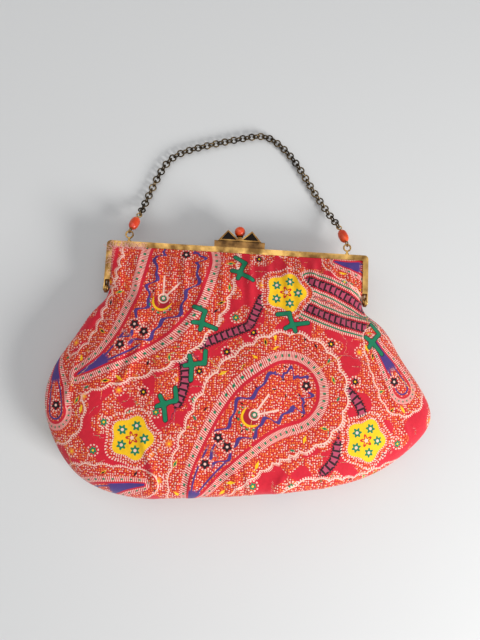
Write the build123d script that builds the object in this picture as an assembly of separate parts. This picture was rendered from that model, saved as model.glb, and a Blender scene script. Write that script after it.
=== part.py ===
from build123d import *
import os
from math import cos, pi, sin, sqrt

# A frame purse lying on its back: a gathered print cotton pouch between the two hinged jaws of
# a brass frame, a twin-peaked clasp with a ball knob, and a chain handle on two beaded links.
# Millimetres. +X runs along the frame, +Y from the pouch towards the handle, +Z up off the table.
# The origin is on the table, in the middle of the flat of the pouch's back, below the frame's centre.

# Frame: two brass channels, one above the other, hinged at the lower ends of their arms
frame_width = 200.0
frame_top_y = 105.0
arm_length = 30.0
face_width = 4.2
jaw_depth = 4.6
brass_wall = 0.8
corner_radius = 3.0
jaw_gap = 0.3
parting_z = 22.0
hinge_drop = 36.0
ear_radius = 3.6
ear_clearance = 0.3
rivet_radius = 1.2
rivet_fit = 0.05
rivet_head_radius = 2.4
rivet_head_height = 0.9

# Clasp: a twin-peaked plate on each jaw, and between them a sprung lever with a ball on its end
clasp_width = 38.6
clasp_height = 5.2
peak_offset = 9.2
peak_height = 8.4
peak_foot = 16.6
plate_thickness = 1.6
plate_rim = 1.0
plate_recess = 0.6
valley_depth = 6.4
notch_width = 3.6
well_width = 8.0
well_floor = 0.9
pin_radius = 0.6
pin_length = 12.0
pin_height = 2.7
pin_setback = 2.3
lever_width = 3.0
hub_radius = 1.25
stem_radius = 1.1
tongue_thickness = 0.8
spring_thickness = 0.3
cup_radius = 2.7
cup_height = 1.5
knob_radius = 4.1
knob_height = 13.8
peg_radius = 0.9
peg_length = 3.0
running_gap = 0.3
loop_play = 0.35
fit = 0.04

# Handle: two eyes in the back jaw, two beaded wire links, and a chain of round links
eye_inset = 15.0
eye_radius = 2.7
eye_wire = 0.65
eye_corners = 16
eye_wire_sides = 8
eye_rise = 7.2
ferrule_radius = 1.5
ferrule_height = 2.4
eye_stem_radius = 0.9
loop_radius = 2.0
loop_wire = 0.5
loop_corners = 12
loop_wire_sides = 6
bead_length = 11.0
bead_radius = 3.7
bead_end_radius = 1.9
bead_bore = 0.55
bead_gap = 0.4
link_lean = 5.5
link_fall = 8.6
link_radius = 2.6
link_wire = 0.6
link_slack = 0.2
link_corners = 10
wire_sides = 5
links_per_node = 8

# Route of the chain, measured from the frame's top centre: x, y and height above the table
chain_route = [
    (-77.8, 36.0, 5.4),
    (-73.5, 49.0, 3.3),
    (-68.0, 63.0, 3.25),
    (-58.0, 78.5, 3.25),
    (-40.0, 88.0, 3.25),
    (-18.0, 95.0, 3.25),
    (4.0, 101.0, 3.25),
    (18.0, 102.5, 3.25),
    (31.0, 95.5, 3.25),
    (45.5, 80.0, 3.25),
    (58.0, 61.0, 3.3),
    (68.8, 45.0, 4.0),
    (74.8, 35.5, 6.4),
]

# Pouch: cotton outside and a lining inside, joined along one seam from hinge to hinge
cotton = 1.2
lining_sheet = 0.6
layer_gap = 0.5
seam_gap = 0.1
lip_gap = 0.4
fold_radius = 21.0
arm_gap = 0.8
cloth_tuck = 0.7
throat_belly = 15.0
crown_belly = 28.5
hem_belly = 2.4
back_lift = 3.0
back_lift_share = 0.24
groove_inset = 1.9
groove_play = 0.45
lip_clearance = 0.6
side_squareness = 2.6
back_squareness = 7.0
pouch_sections = 14
throat_sections = 8
points_across = 26

# Edges of the pouch below the hinges: how far outside the frame's mouth, and how far below the hinges
left_edge = [(0, 0.2), (1.1, 6), (9.5, 17), (20.5, 35), (34, 58), (39.5, 84), (30.5, 111), (7.5, 138),
             (-36.5, 151)]
right_edge = [(0, 0.2), (1.1, 6), (13.5, 17), (29.5, 40), (45.5, 63), (53.5, 85), (38.5, 107), (4.5, 129),
              (-46.5, 141)]

# Soft folds of the front, as shares of its width: where each starts, where it ends, depth, half width
folds = [
    (-0.84, -0.92, 3.2, 0.08),
    (-0.50, -0.66, 3.0, 0.10),
    (-0.08, -0.16, 1.6, 0.11),
    (0.32, 0.24, 1.8, 0.10),
    (0.78, 0.86, 3.0, 0.09),
]

# Places that follow from the sizes above
hinge_y = frame_top_y - hinge_drop
arm_end_y = frame_top_y - arm_length
front_low = parting_z + jaw_gap / 2
back_low = parting_z - jaw_gap / 2 - jaw_depth
front_middle = front_low + jaw_depth / 2
back_middle = back_low + jaw_depth / 2


# Frame jaws

def arch(inset, reach_down):
    """The frame's inverted U outline, filled, moved in from the outer edge by inset."""
    width = frame_width - 2 * inset
    height = frame_top_y - inset - reach_down
    outline = Pos(0, reach_down + height / 2) * Rectangle(width, height)
    top_corners = outline.vertices().group_by(Axis.Y)[-1]
    return fillet(top_corners, corner_radius - inset)


def jaw_channel(low):
    """A brass channel bent to an inverted U, open towards the pouch, its lower face at height low."""
    mouth_width = frame_width - 2 * face_width
    mouth_height = frame_top_y - face_width - arm_end_y
    mouth = Pos(0, arm_end_y + mouth_height / 2) * Rectangle(mouth_width, mouth_height)
    body = extrude(arch(0, arm_end_y) - mouth, jaw_depth)
    groove = extrude(arch(brass_wall, arm_end_y) - mouth, jaw_depth - 2 * brass_wall)
    return Pos(0, 0, low) * (body - Pos(0, 0, brass_wall) * groove)


def ear(side, outer_x, strap_top, low):
    """A flat hinge ear on an arm: a strap down from strap_top that ends in a disc round the rivet."""
    middle_x = side * (outer_x - brass_wall / 2)
    strap_height = strap_top - hinge_y
    strap = Pos(middle_x, hinge_y + strap_height / 2, low + jaw_depth / 2) * Box(
        brass_wall, strap_height, jaw_depth
    )
    across = Rot(0, 90, 0)
    disc = Pos(middle_x, hinge_y, parting_z) * across * Cylinder(ear_radius, brass_wall)
    hole = Pos(middle_x, hinge_y, parting_z) * across * Cylinder(rivet_radius + rivet_fit, 3 * brass_wall)
    return strap + disc - hole


def make_front_jaw():
    jaw = jaw_channel(front_low)
    for side in (-1, 1):
        jaw += ear(side, frame_width / 2, arm_end_y, front_low)
    return jaw


def make_back_jaw():
    jaw = jaw_channel(back_low)
    inner_x = frame_width / 2 - brass_wall - ear_clearance
    for side in (-1, 1):
        jaw += ear(side, inner_x, arm_end_y + face_width, back_low)
        jaw -= eye_stem_hole(side)
    return jaw


def make_rivet(side):
    """A domed rivet along X that holds the two ears of one arm together."""
    grip = 2 * brass_wall + ear_clearance
    head_room = ear_clearance / 2
    shank = Cylinder(rivet_radius, grip + 2 * head_room + 2 * rivet_head_height)
    span = grip / 2 + head_room
    for end in (-1, 1):
        head = Cylinder(rivet_head_radius, rivet_head_height)
        shank += Pos(0, 0, end * (span + rivet_head_height / 2)) * head
    rims = shank.edges().filter_by(GeomType.CIRCLE).group_by(SortBy.RADIUS)[-1]
    shank = fillet(rims.filter_by(lambda e: abs(e.center().Z) > span + rivet_head_height / 2),
                   rivet_head_height * 0.8)
    middle_x = side * (frame_width / 2 - grip / 2)
    return Pos(middle_x, hinge_y, parting_z) * Rot(0, 90, 0) * shank


# Clasp

clasp_top_y = frame_top_y + clasp_height
pin_y = frame_top_y + pin_height
pin_z = parting_z - pin_setback
knob_base_y = frame_top_y + knob_height - knob_radius


def clasp_bar(low):
    """A solid bar along the top of a jaw, with its long outer edges eased."""
    bar = Pos(0, frame_top_y + clasp_height / 2, low + jaw_depth / 2) * Box(
        clasp_width, clasp_height, jaw_depth
    )
    upper = bar.edges().filter_by(Axis.X).group_by(Axis.Y)[-1]
    return chamfer(upper, 0.5)


def peaks_outline(inset):
    """The twin-peaked plate seen from the front, its edges moved in by inset."""
    base_y = clasp_top_y + inset
    foot = peak_foot - 2.4 * inset
    peak_y = clasp_top_y + peak_height - 1.25 * inset
    valley_y = clasp_top_y + peak_height - valley_depth - 0.6 * inset
    valley = notch_width / 2 + inset
    right = [(valley, base_y), (foot, base_y), (peak_offset, peak_y), (valley, valley_y)]
    left = [(-x, y) for x, y in reversed(right)]
    if inset:
        return Polygon(*right, align=None) + Polygon(*left, align=None)
    return Polygon(*right, *left, align=None)


def peaked_plate(low, face_up):
    """A twin-peaked plate standing on its bar, with two sunk fields inside a raised rim."""
    plate = extrude(peaks_outline(0), plate_thickness)
    field = extrude(peaks_outline(plate_rim), plate_recess)
    field_z = plate_thickness - plate_recess if face_up else 0
    return Pos(0, 0, low) * (plate - Pos(0, 0, field_z) * field)


def make_front_plate():
    return peaked_plate(front_low + jaw_depth - plate_thickness, True)


def make_clasp_back():
    """Back bar and back plate in one, slotted for the lever to tip back through."""
    bar = clasp_bar(back_low)
    well_height = clasp_height - well_floor
    well = Pos(0, clasp_top_y - well_height / 2, parting_z - jaw_depth / 2) * Box(
        well_width, well_height, jaw_depth + 2 * jaw_gap
    )
    pin_hole = Pos(0, pin_y, pin_z) * Rot(0, 90, 0) * Cylinder(pin_radius + fit, pin_length + 2 * fit)
    slot = Pos(0, clasp_top_y + peak_height / 2, back_low) * Box(
        notch_width, peak_height, 3 * plate_thickness
    )
    return bar + (peaked_plate(back_low, False) - slot) - well - pin_hole


def make_lever():
    """Hub round the pin, stem up to the knob, tongue forward over the front plate's valley."""
    hub = Pos(0, pin_y, pin_z) * Rot(0, 90, 0) * Cylinder(hub_radius, lever_width)
    elbow_y = clasp_top_y + 1.5 * stem_radius
    runs = [Line((0, pin_y, pin_z), (0, elbow_y, parting_z)),
            Line((0, elbow_y - stem_radius / 2, parting_z), (0, knob_base_y, parting_z))]
    lever = hub
    for run in runs:
        lever += extrude(Plane(run @ 0, z_dir=run % 0) * Circle(stem_radius), run.length)
    tongue_length = front_low + jaw_depth - parting_z
    tongue_y = clasp_top_y + peak_height - valley_depth + running_gap + tongue_thickness / 2
    tongue = Box(lever_width, tongue_thickness, tongue_length)
    lever += Pos(0, tongue_y, parting_z + tongue_length / 2) * tongue
    peg_start = Plane((0, knob_base_y, parting_z), z_dir=(0, 1, 0))
    lever += extrude(peg_start * Circle(peg_radius), peg_length)
    bore = Cylinder(pin_radius + fit, lever_width * 2)
    return lever - Pos(0, pin_y, pin_z) * Rot(0, 90, 0) * bore


def make_pin():
    return Pos(0, pin_y, pin_z) * Rot(0, 90, 0) * Cylinder(pin_radius, pin_length)


def make_spring():
    """A flat leaf on the floor of the well, under the hub."""
    leaf_y = frame_top_y + well_floor + spring_thickness / 2
    return Pos(0, leaf_y, pin_z) * Box(well_width - 2 * running_gap, spring_thickness, 2 * hub_radius)


def make_cup():
    """The flared collar under the ball, bored for the stem."""
    low_y = knob_base_y - cup_height * 0.75
    cone = Plane((0, low_y, parting_z), z_dir=(0, 1, 0)) * Pos(0, 0, cup_height / 2) * Cone(
        stem_radius + 0.3, cup_radius, cup_height
    )
    seat = Pos(0, frame_top_y + knob_height, parting_z) * Sphere(knob_radius + fit)
    bore = Plane((0, low_y, parting_z), z_dir=(0, 1, 0)) * Cylinder(stem_radius + fit, 4 * cup_height)
    return cone - seat - bore


def make_knob():
    """The ball, drilled from below for the peg."""
    ball = Pos(0, frame_top_y + knob_height, parting_z) * Sphere(knob_radius)
    drill_top = knob_base_y + peg_length + running_gap
    drill = Plane((0, knob_base_y - 1, parting_z), z_dir=(0, 1, 0)) * Circle(stem_radius + fit)
    return ball - extrude(drill, drill_top - knob_base_y + 1)


# Handle

eye_y = frame_top_y + eye_rise
eye_top_y = eye_y + eye_radius
loop_offset = loop_radius - loop_wire - eye_wire - loop_play
link_length = loop_offset + 3 * loop_radius + 2 * bead_gap + bead_length + loop_radius
link_run = sqrt(link_length ** 2 - link_fall ** 2 - link_lean ** 2)


def make_ring(radius, wire, corners=link_corners, sides=wire_sides):
    """A faceted wire ring in the XY plane, its wire's middle at radius."""
    path = RegularPolygon(radius, corners, major_radius=False).face().outer_wire()
    start = Plane((radius, 0, 0), x_dir=(1, 0, 0), z_dir=(0, 1, 0))
    section = start * RegularPolygon(wire, sides, rotation=180 / sides)
    return sweep(section, path=path, transition=Transition.RIGHT)


def eye_stem_hole(side):
    """The hole through the back jaw's web for one eye's stem."""
    through = Plane((side * (frame_width / 2 - eye_inset), frame_top_y, back_middle), z_dir=(0, 1, 0))
    return through * Cylinder(eye_stem_radius + fit, 3 * brass_wall)


def make_eye(side):
    """A wire eye on a ferrule, its stem through the back jaw's web and headed inside the channel."""
    x = side * (frame_width / 2 - eye_inset)
    ring = Pos(x, eye_y, back_middle) * Rot(0, 0, 90) * make_ring(
        eye_radius, eye_wire, eye_corners, eye_wire_sides
    )
    up = Plane((x, frame_top_y, back_middle), z_dir=(0, 1, 0))
    ferrule = up * Pos(0, 0, fit + ferrule_height / 2) * Cylinder(ferrule_radius, ferrule_height)
    neck_top = eye_rise - eye_radius
    neck = up * Pos(0, 0, neck_top / 2) * Cylinder(eye_stem_radius, neck_top)
    head_height = 0.6
    stem_length = brass_wall + fit + head_height
    stem = up * Pos(0, 0, fit - stem_length / 2) * Cylinder(eye_stem_radius, stem_length)
    head = up * Pos(0, 0, -brass_wall - fit - head_height / 2) * Cylinder(ferrule_radius, head_height)
    return ring + ferrule + neck + stem + head


def link_frame(side):
    """Start point and unit direction of a beaded link, from its eye to the chain."""
    start = Vector(side * (frame_width / 2 - eye_inset), eye_top_y, back_middle)
    along = Vector(-side * link_lean, link_run, -link_fall).normalized()
    return start, along


def chain_pivot(side):
    """Centre of the wire that the chain's end link hangs on."""
    start, along = link_frame(side)
    return start + along * link_length


def make_bead_wire(side):
    """A wire through the bead, with an upright loop round the eye and a flat loop for the chain."""
    start, along = link_frame(side)
    across = Vector(1, 0, 0)
    flat_normal = along.cross(across).normalized()
    first = start + along * loop_offset
    last = start + along * (link_length - loop_radius)
    upright = Plane(first, x_dir=along, z_dir=along.cross(flat_normal).normalized())
    flat = Plane(last, x_dir=along * -1, z_dir=flat_normal)
    wire = upright * make_ring(loop_radius, loop_wire, loop_corners, loop_wire_sides)
    wire += flat * make_ring(loop_radius, loop_wire, loop_corners, loop_wire_sides)
    rod_start = first + along * loop_radius
    rod_end = last - along * loop_radius
    rod = extrude(Plane(rod_start, z_dir=along) * Circle(loop_wire), (rod_end - rod_start).length)
    return wire + rod


def make_bead(side):
    """An olive-shaped bead bored along its length."""
    start, along = link_frame(side)
    bead_start = start + along * (loop_offset + loop_radius + loop_wire + bead_gap)
    half = bead_length / 2
    profile = Polyline(
        (0, bead_end_radius), (0, bead_bore), (bead_length, bead_bore), (bead_length, bead_end_radius)
    )
    crown = Spline(
        (bead_length, bead_end_radius),
        (bead_length * 0.8, bead_radius * 0.9),
        (half, bead_radius),
        (bead_length * 0.2, bead_radius * 0.9),
        (0, bead_end_radius),
    )
    olive = revolve(make_face(profile + crown), Axis.X)
    place = Plane(bead_start, x_dir=along, z_dir=along.cross(Vector(1, 0, 0)).normalized())
    return place * olive


def make_chain():
    """Round links along the route, every other one on edge, from one beaded link to the other."""
    left_end = chain_pivot(-1)
    right_end = chain_pivot(1)
    middle = [(x, frame_top_y + y, z) for x, y, z in chain_route]
    route = Spline(left_end, *middle, right_end)
    end_offset = link_radius - link_wire - loop_wire - loop_play
    run = route.length - 2 * end_offset
    taut = 2 * link_radius - 2 * link_wire - link_slack
    count = 2 * round(run / taut / 2) + 1
    ring = make_ring(link_radius, link_wire)
    links = []
    for k in range(count):
        share = (end_offset + run * k / (count - 1)) / route.length
        along = route % share
        sideways = along.cross(Vector(0, 0, 1)).normalized()
        normal = sideways if k % 2 == 0 else sideways.cross(along)
        links.append(Plane(route @ share, x_dir=along, z_dir=normal) * ring)
    return links


# Pouch

seam_z = parting_z
lining_outer = cotton + layer_gap
lining_inner = lining_outer + lining_sheet
lining_end = 0.9
first_share = 0.09
throat_height = hinge_drop - groove_inset
throat_half = frame_width / 2 - face_width + cloth_tuck
left_line = Spline(*[(-throat_half - out, hinge_y - down, seam_z) for out, down in left_edge])
right_line = Spline(*[(throat_half + out, hinge_y - down, seam_z) for out, down in right_edge])
across_steps = [-cos(pi * k / points_across) for k in range(points_across + 1)]


def bulge(across, squareness):
    """Height of a round-shouldered profile at a place across it, 1 in the middle and 0 at its ends."""
    return sqrt(max(0, 1 - abs(across) ** squareness))


def fold_depth(share, across):
    """How far the folds draw the front in, at a share of the way down and a share across."""
    depth = 0
    for start, end, deep, half_width in folds:
        middle = start + (end - start) * share
        depth += deep * sin(pi * min(1, 0.2 + share)) / (1 + ((across - middle) / half_width) ** 4)
    return depth * bulge(across, 2)


def belly(side, share):
    """How far the front (side 1) or the back (side -1) stands off the seam, from hinges to hem."""
    if side > 0:
        rise = throat_belly + (crown_belly - throat_belly) * sin(min(1, share / 0.45) * pi / 2)
        start = 0.45
    else:
        rise = seam_z - seam_gap / 2 - back_lift * max(0, 1 - share / back_lift_share) ** 2
        start = 0.75
    fall = sqrt(max(0, 1 - max(0, (share - start) / (1 - start)) ** 2.4))
    return hem_belly / 2 + (rise - hem_belly / 2) * fall


def pouch_curve(side, share, inset):
    """Points from the left seam to the right one below the hinges, drawn in by inset."""
    left = left_line @ share
    chord = (right_line @ share) - left
    squareness = side_squareness if side > 0 else back_squareness
    height = belly(side, share) - inset
    points = []
    for across in across_steps:
        foot = left + chord.normalized() * (inset + (chord.length - 2 * inset) * (across + 1) / 2)
        fold = fold_depth(share, across) if side > 0 else 0
        rise = max(0.02, height) * bulge(across, squareness) - fold * min(1, height / throat_belly)
        points.append(Vector(foot.X, foot.Y, seam_z + side * (seam_gap / 2 + max(0, rise))))
    return points


def throat_curve(side, share, inset):
    """Points across one layer between the hinges and the frame's top, ending in a jaw's groove."""
    jaw_z = front_middle if side > 0 else back_middle
    edge_height = abs(jaw_z - seam_z) + jaw_depth / 2 - brass_wall - groove_play
    start_height = throat_belly if side > 0 else seam_z - back_lift
    reach = min(1, share * hinge_drop / (hinge_drop - arm_length + face_width))
    ease = reach * reach * (3 - 2 * reach)
    free = (hinge_drop - face_width - lip_clearance) / (hinge_drop - groove_inset)
    crown = edge_height + (start_height - edge_height) * max(0, 1 - (share / free) ** 1.4) - inset
    edge = (edge_height - inset) * ease
    half_width = throat_half - inset
    slack = min(half_width, frame_width / 2 - face_width - lip_clearance - inset)
    squareness = side_squareness if side > 0 else back_squareness - 4 * share
    y = hinge_y + throat_height * share
    points = []
    for across in across_steps:
        x = half_width * across
        fold = fold_depth(0, across) * (1 - share) if side > 0 else 0
        rise = (crown - edge) * bulge(min(1, abs(x) / slack), squareness)
        height = edge + max(0, rise - fold * min(1, crown / throat_belly))
        points.append(Vector(x, y, seam_z + side * (seam_gap / 2 + height)))
    return points


def band(outer, inner):
    """A closed section between an outer and an inner line of points."""
    ends = [Line(outer[-1], inner[-1]), Line(inner[0], outer[0])]
    return Wire([Spline(*outer), ends[0], Spline(*reversed(inner)), ends[1]])


def pouch_bands(side, outer, inner, last):
    """Sections of one layer of the pouch, from the hinges down to a share of the way to the hem."""
    shares = [last * k / (pouch_sections - 1) for k in range(pouch_sections)]
    return [band(pouch_curve(side, t, outer), pouch_curve(side, t, inner)) for t in shares]


def throat_bands(side, outer, inner):
    """Sections of one layer above the hinges, from the frame's top down to just above the hinges."""
    last = 1 - outer / throat_height
    shares = [last - (last - first_share) * k / (throat_sections - 1) for k in range(throat_sections)]
    return [band(throat_curve(side, t, outer), throat_curve(side, t, inner)) for t in shares]


def make_layer(side, outer, inner, last):
    """One whole layer of the front or the back, from a jaw's groove to the hem."""
    return Solid.make_loft(throat_bands(side, outer, inner) + pouch_bands(side, outer, inner, last))


def beyond_fold(radius):
    """All that lies above the hinges and farther than radius from their axis: it swings with the jaw."""
    upper = Pos(0, hinge_y + hinge_drop, seam_z) * Box(2 * frame_width, 2 * hinge_drop, 4 * hinge_drop)
    return upper - Pos(0, hinge_y, seam_z) * Rot(0, 90, 0) * Cylinder(radius, 2 * frame_width)


def split_at_fold(layer):
    """The front parts along a line round the hinges' axis: below it stays, above it follows the jaw."""
    mouth = frame_width / 2 - face_width - arm_gap
    lower = layer - beyond_fold(fold_radius)
    for side in (-1, 1):
        beside = Pos(side * (mouth + face_width), hinge_y + hinge_drop / 2, seam_z) * Box(
            2 * face_width, hinge_drop, 2 * hinge_drop
        )
        lower -= beside
    return lower, layer & beyond_fold(fold_radius + lip_gap)


# Build every node

front_cotton = split_at_fold(make_layer(1, 0, cotton, 1))
front_lining = split_at_fold(make_layer(1, lining_outer, lining_inner, lining_end))

nodes = {
    "front_jaw": make_front_jaw(),
    "back_jaw": make_back_jaw(),
    "clasp_bar_front": clasp_bar(front_low),
    "clasp_plate_front": make_front_plate(),
    "clasp_back": make_clasp_back(),
    "clasp_lever": make_lever(),
    "clasp_pin": make_pin(),
    "clasp_spring": make_spring(),
    "knob_cup": make_cup(),
    "clasp_knob": make_knob(),
    "front_panel": front_cotton[0],
    "front_panel_top": front_cotton[1],
    "back_panel": make_layer(-1, 0, cotton, 1),
    "lining_front": front_lining[0],
    "lining_front_top": front_lining[1],
    "lining_back": make_layer(-1, lining_outer, lining_inner, lining_end),
}
for side, name in ((-1, "left"), (1, "right")):
    nodes[f"hinge_rivet_{name}"] = make_rivet(side)
    nodes[f"handle_eye_{name}"] = make_eye(side)
    nodes[f"bead_wire_{name}"] = make_bead_wire(side)
    nodes[f"bead_{name}"] = make_bead(side)

links = make_chain()
nodes["chain_end_link"] = links.pop()
for k in range(0, len(links), links_per_node):
    nodes[f"chain_links_{k // links_per_node + 1}"] = Compound(links[k:k + links_per_node])

os.makedirs("parts", exist_ok=True)
for name, shape in nodes.items():
    export_step(shape, f"parts/{name}.step")
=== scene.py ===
import math
import random

import bmesh
import bpy
import numpy as np
from mathutils import Matrix, Vector


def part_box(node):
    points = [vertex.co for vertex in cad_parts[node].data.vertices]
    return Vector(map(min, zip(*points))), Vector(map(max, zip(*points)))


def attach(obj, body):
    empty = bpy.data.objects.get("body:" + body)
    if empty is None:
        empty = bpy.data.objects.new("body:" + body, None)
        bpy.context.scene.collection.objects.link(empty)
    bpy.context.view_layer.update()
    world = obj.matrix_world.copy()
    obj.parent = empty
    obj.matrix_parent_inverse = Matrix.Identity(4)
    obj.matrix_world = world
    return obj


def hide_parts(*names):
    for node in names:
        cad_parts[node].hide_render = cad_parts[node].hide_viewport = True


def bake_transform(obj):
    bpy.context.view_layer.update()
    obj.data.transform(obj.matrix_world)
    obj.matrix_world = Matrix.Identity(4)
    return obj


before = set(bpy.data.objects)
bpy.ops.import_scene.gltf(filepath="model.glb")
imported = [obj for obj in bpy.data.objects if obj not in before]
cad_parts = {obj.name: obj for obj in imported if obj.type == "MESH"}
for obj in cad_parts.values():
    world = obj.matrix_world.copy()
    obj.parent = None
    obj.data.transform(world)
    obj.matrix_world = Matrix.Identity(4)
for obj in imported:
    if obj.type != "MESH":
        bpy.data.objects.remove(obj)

bl_info = {
    "name": "Frame Purse",
    "version": (1, 0, 0),
    "blender": (4, 5, 0),
    "location": "View3D > Sidebar > Purse",
    "description": "Dresses a brass-framed print cotton purse and sets its stage",
    "category": "Object",
}

MM = 0.001

# Sizes shared with the part's source, in millimetres

FRAME_TOP = 105.0
HINGE_Y = 69.0
SEAM_Z = 22.0
THROAT_HALF = 96.5
THROAT_HEIGHT = 34.1
THROAT_SLACK = 95.2
LIP_RUN = 10.2
GROOVE_HEIGHT = 3.5
THROAT_BELLY = 15.0
CROWN_BELLY = 28.5
BACK_DEPTH = 21.95
BACK_LIFT = 3.0
HEM_HALF = 1.2
SEAM_HALF = 0.05
FRONT_SQUARENESS = 2.6
BACK_SQUARENESS = 7.0

# Edges of the pouch below the hinges, from the frame's top centre

LEFT_EDGE = [(-96.5, -36.2), (-97.6, -42), (-106, -53), (-117, -71), (-130.5, -94), (-136, -120),
             (-127, -147), (-104, -174), (-60, -187)]
RIGHT_EDGE = [(96.5, -36.2), (97.6, -42), (110, -53), (126, -76), (142, -99), (150, -121),
              (135, -143), (101, -165), (50, -177)]

# Soft folds of the front, as shares of its width: start, end, depth, half width

FOLDS = [(-0.84, -0.92, 3.2, 0.08), (-0.50, -0.66, 3.0, 0.10), (-0.08, -0.16, 1.6, 0.11),
         (0.32, 0.24, 1.8, 0.10), (0.78, 0.86, 3.0, 0.09)]

# How the fine cloth follows the pouch: the throat's share, crowding towards the edges, limits of relief

THROAT_SHARE = 0.17
CROWDED_ROWS = 0.4
CROWDED_COLUMNS = 0.35
DEEPEST = 0.75
HIGHEST = 2.0
HEM_SWELL = 1.4
BACK_PRINT_SHIFT = 37
THREAD_PITCH = 0.9
CLOTH_THICKNESS = 0.0006

# Creases of the front: start, end, height of the ridge, width

CREASES = [
    ((-65, 42), (-84, -2), 1.9, 2.6),
    ((-116, 24), (-124, -30), 2.0, 2.6),
    ((-66, -38), (-52, -74), 1.7, 2.6),
    ((104, 8), (126, -36), 1.9, 2.8),
    ((14, -82), (6, -54), 1.9, 2.2),
    ((-2, -82), (-8, -58), 1.5, 2.2),
    ((62, 62), (104, 14), 1.2, 3.2),
    ((-30, 68), (-44, 28), 0.9, 2.8),
    ((-92, 60), (-118, -6), 1.2, 3.6),
    ((36, -80), (40, -60), 1.3, 2.4),
    ((74, -70), (66, -50), 1.2, 2.4),
    ((-34, -84), (-30, -62), 1.2, 2.4),
]

# Where the print's motifs lie on the flat cloth, from the frame's top centre
# Paisleys: x, y, inner radius and border scale, from the round end to the tail

PAISLEYS = [
    [(-44, -13, 22.5, 1), (-52, -43, 21.5, 1), (-67, -66, 17, 1), (-86, -85, 10, 0.85),
     (-103, -97, 4, 0.7), (-112, -102, 1, 0.6)],
    [(38, -107, 21, 1), (20, -117, 18.5, 1), (6, -131, 15, 0.9), (-11, -154, 11, 0.8),
     (-21, -172, 7, 0.7), (-26, -188, 2, 0.6)],
    [(124, -100, 7, 0.62), (116, -86, 5, 0.6), (108, -74, 3, 0.5), (104, -66, 1, 0.4)],
    [(-126, -128, 8, 0.7), (-128, -112, 6, 0.6), (-131, -96, 3, 0.5), (-133, -84, 1, 0.4)],
    [(60, -192, 9, 0.8), (84, -186, 7, 0.7), (104, -176, 4, 0.6), (122, -164, 1, 0.5)],
    [(-104, -186, 8, 0.7), (-86, -180, 6, 0.6), (-70, -176, 3, 0.5), (-58, -174, 1, 0.4)],
    [(112, -14, 8, 0.7), (96, -10, 6, 0.6), (82, -8, 3, 0.5), (74, -6, 1, 0.4)],
    [(8, 16, 6, 0.6), (22, 14, 4, 0.5), (32, 10, 1, 0.4)],
]
MEDALLIONS = [(36, -34), (-68, -143), (95, -138), (-150, -60), (-160, -170), (165, -60)]
LADDERS = [
    [(-36, -88), (-34, -103), (-38, -118)],
    [(-25, -77), (-8, -69), (8, -62)],
    [(10, -60), (14, -50), (18, -40)],
    [(66, -160), (72, -152), (74, -142)],
    [(80, -104), (88, -112), (92, -122)],
    [(45, -42), (71, -52), (101, -58)],
    [(54, -24), (78, -32), (98, -42)],
]
FIRST_STRIPED_LADDER = 5

# Leaves and crescents: x, y and turn in degrees

LEAVES = [(-30, -94, 0), (-22, -62, 70), (44, -58, 100), (-47, -122, 10), (4, -22, 60), (104, -70, 40)]
LEAF_STROKES = [[(0, -8), (0, 3), (-2, 9)], [(0, 3), (5, 4), (9, 4), (9, 13)], [(0, 3), (-5, 2)]]
CRESCENTS = [(13, -125, 215), (-55, -46, 250)]
DARK_FLOWERS = [(-9, -140), (-2.5, -146), (-17, -158), (51, -102), (-73, -64), (-66, -69),
                (-82, -79), (-40, -8), (118, -96), (-126, -124)]
PRINT_BOUNDS = (-150, 165, -205, 20)
SPINE_STEPS = 70
LADDER_STEPS = 50

# Colours of the print, the metals, the coral and the rest

RED = (0.60, 0.010, 0.028, 1)
DEEP_RED = (0.40, 0.008, 0.018, 1)
WARM_RED = (0.56, 0.018, 0.016, 1)
PALE = (0.88, 0.56, 0.46, 1)
ORANGE = (0.86, 0.21, 0.035, 1)
GOLD = (0.92, 0.52, 0.005, 1)
INDIGO = (0.070, 0.035, 0.19, 1)
GREEN = (0.005, 0.19, 0.085, 1)
BLACK = (0.02, 0.006, 0.010, 1)
MAUVE = (0.44, 0.055, 0.11, 1)
BRASS = (0.72, 0.43, 0.13, 1)
OLD_BRASS = (0.20, 0.10, 0.03, 1)
PLATE_BRASS = (0.66, 0.38, 0.11, 1)
# Painted shade: black for the clasp plate's sunk fields, standing in for shadow in the recess
PLATE_PAINTED_SHADE = (0.018, 0.014, 0.012, 1)
CORAL = (0.86, 0.12, 0.015, 1)
CORAL_CLOUD = (0.62, 0.045, 0.012, 1)
LINING_RED = (0.32, 0.05, 0.05, 1)
THREAD_PINK = (0.78, 0.42, 0.36, 1)
FLOOR_GREY = (0.62, 0.62, 0.61, 1)
SKY = (0.9, 0.93, 1.0, 1)

# Metals other than the frame's: worn colour, tarnished colour, roughness where tarnished

METALS = {
    # Bar brass is the frame's brass painted darker, as painted shade where the clasp's bar is lit more
    # dimly
    "Bar brass in painted shade": ((0.42, 0.22, 0.07, 1), (0.10, 0.05, 0.02, 1), 0.34),
    "Dark brass": ((0.16, 0.09, 0.035, 1), (0.03, 0.018, 0.01, 1), 0.38),
    "Chain metal": ((0.17, 0.115, 0.055, 1), (0.03, 0.022, 0.015, 1), 0.36),
}

# Edges eased on the jaws and the clasp, in metres

JAW_EDGE = 0.00025
PLATE_EDGE = 0.0002

# Frayed threads over the frame's top and its left arm: ranges of x, y, run in x and run in y, and height

TOP_FRAY = ((-97, -70), (98.6, 100.4), (-6, 3), (1.5, 5.5), 26.6)
ARM_FRAY = ((-95.4, -93), (80, 99), (-5.5, -2), (-3, 3), 26.0)
THREAD_STEPS = 6

# Camera: lens in millimetres, lean, tip and roll in degrees, target in millimetres, distance in metres

CAMERA_LENS = 36 * 500 / 640
CAMERA_ANGLES = (2.6, 7.0, 2.778)
CAMERA_TARGET = (3.311, FRAME_TOP - 54.85, 22)
CAMERA_DISTANCE = 0.37994

# Lamps: name, place in metres, size, power

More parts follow.
